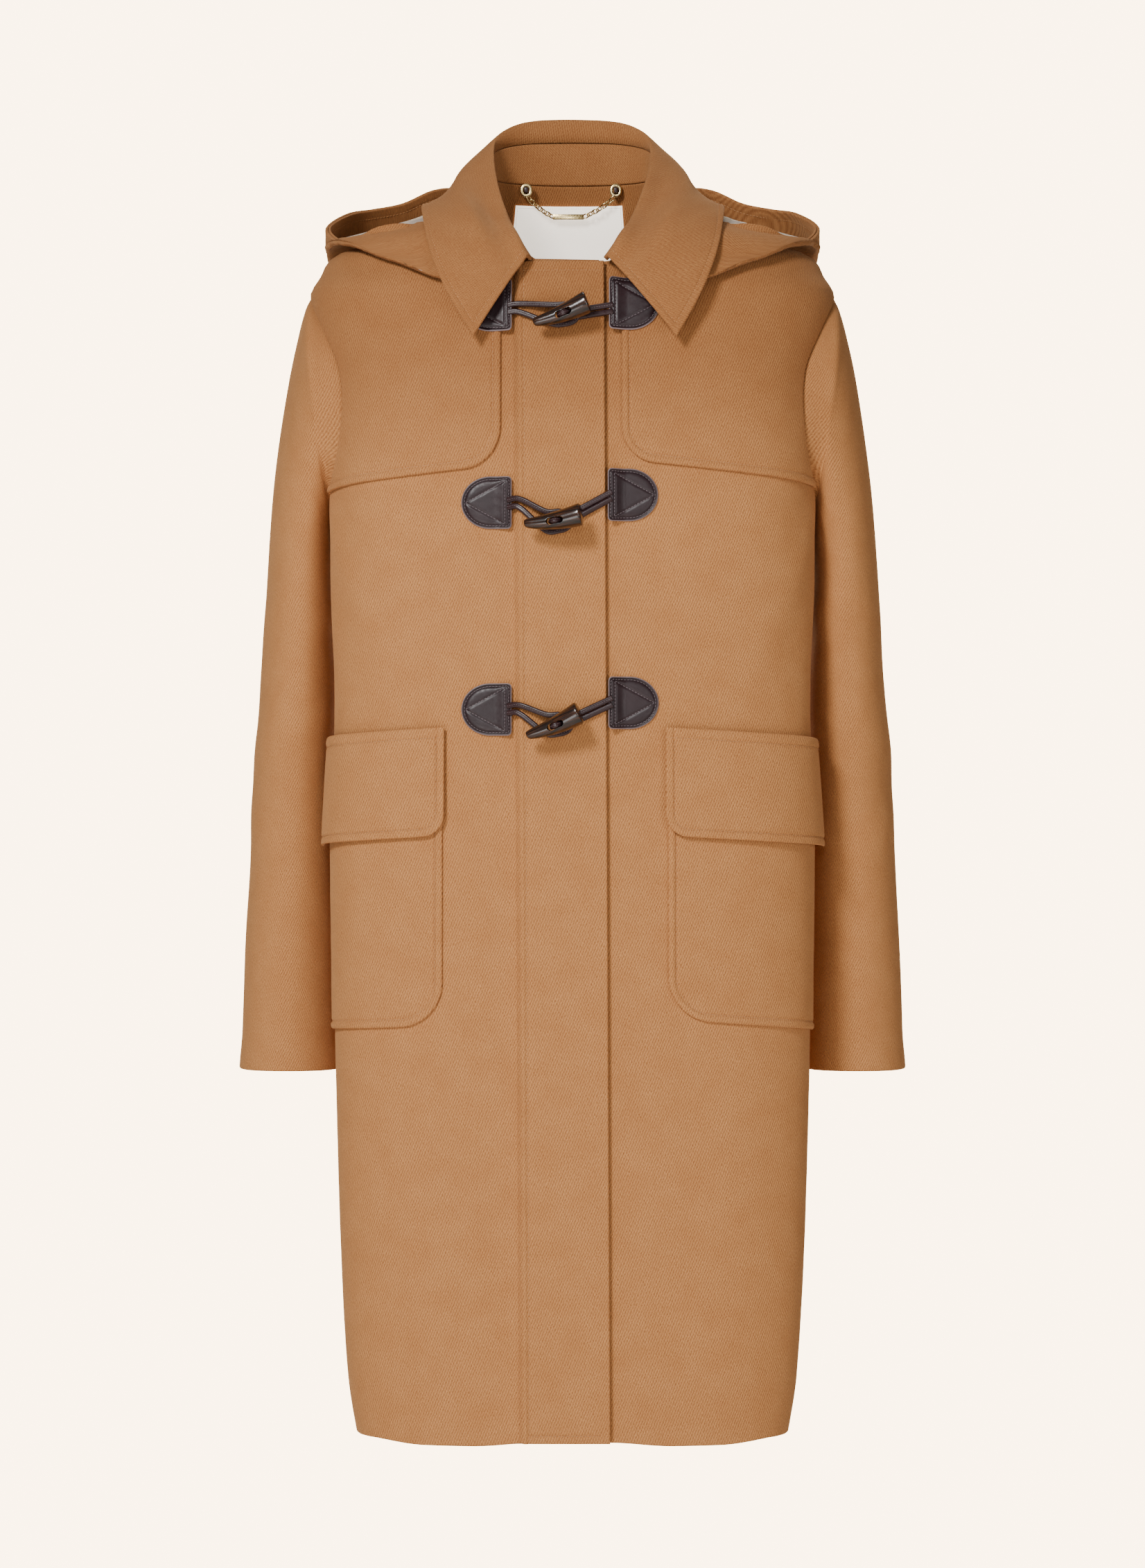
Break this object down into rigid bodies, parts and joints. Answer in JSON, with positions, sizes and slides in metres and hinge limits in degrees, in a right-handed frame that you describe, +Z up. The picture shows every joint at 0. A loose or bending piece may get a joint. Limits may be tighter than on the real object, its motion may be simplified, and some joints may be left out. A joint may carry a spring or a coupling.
{
  "type": "duffle coat",
  "caption": "Knee-length wool duffle coat, worn shape and hollow, with a turned-down collar, a hood hanging behind, toggle fastenings on leather patches and flapped pockets.",
  "frame": {"origin": "in the middle of the neck opening, level with the shoulder line", "axes": "+Z up, towards the collar; front towards -Y; +X towards the wearer's left sleeve"},
  "size_m": [0.524, 0.3388, 1.0192],
  "materials": {
    "wool": "napped camel wool twill, matt",
    "lining": "thin woven cotton with a plain window check",
    "leather": "dark brown leather, satin",
    "horn": "dark brown streaked horn, polished",
    "label": "off-white woven satin, bare",
    "brass": "polished brass"
  },
  "bodies": {
    "root": {"front_left": "wool", "front_right": "wool", "back_panel": "wool", "front_placket": "wool", "yoke_right": "wool", "yoke_left": "wool", "sleeve_right": "wool", "sleeve_left": "wool", "pocket_right": "wool", "pocket_left": "wool", "pocket_flap_right": "wool", "pocket_flap_left": "wool", "collar_stand": "wool", "collar_fall": "wool", "hood_shell": "wool", "hood_facing": "wool", "back_neck_facing": "wool", "hood_lining": "lining", "leather_loop_patch_top": "leather", "leather_toggle_patch_top": "leather", "leather_loop_patch_middle": "leather", "leather_toggle_patch_middle": "leather", "leather_loop_patch_bottom": "leather", "leather_toggle_patch_bottom": "leather", "thong_loop_top": "leather", "thong_toggle_top": "leather", "thong_loop_middle": "leather", "thong_toggle_middle": "leather", "thong_loop_bottom": "leather", "thong_toggle_bottom": "leather", "hanger_tab_right": "leather", "hanger_tab_left": "leather", "toggle_top": "horn", "toggle_middle": "horn", "toggle_bottom": "horn", "neck_label": "label", "hanger_ring_right": "brass", "hanger_ring_left": "brass", "hanger_chain_right": "brass", "hanger_chain_left": "brass", "hanger_plate": "brass"}
  },
  "joints": []
}
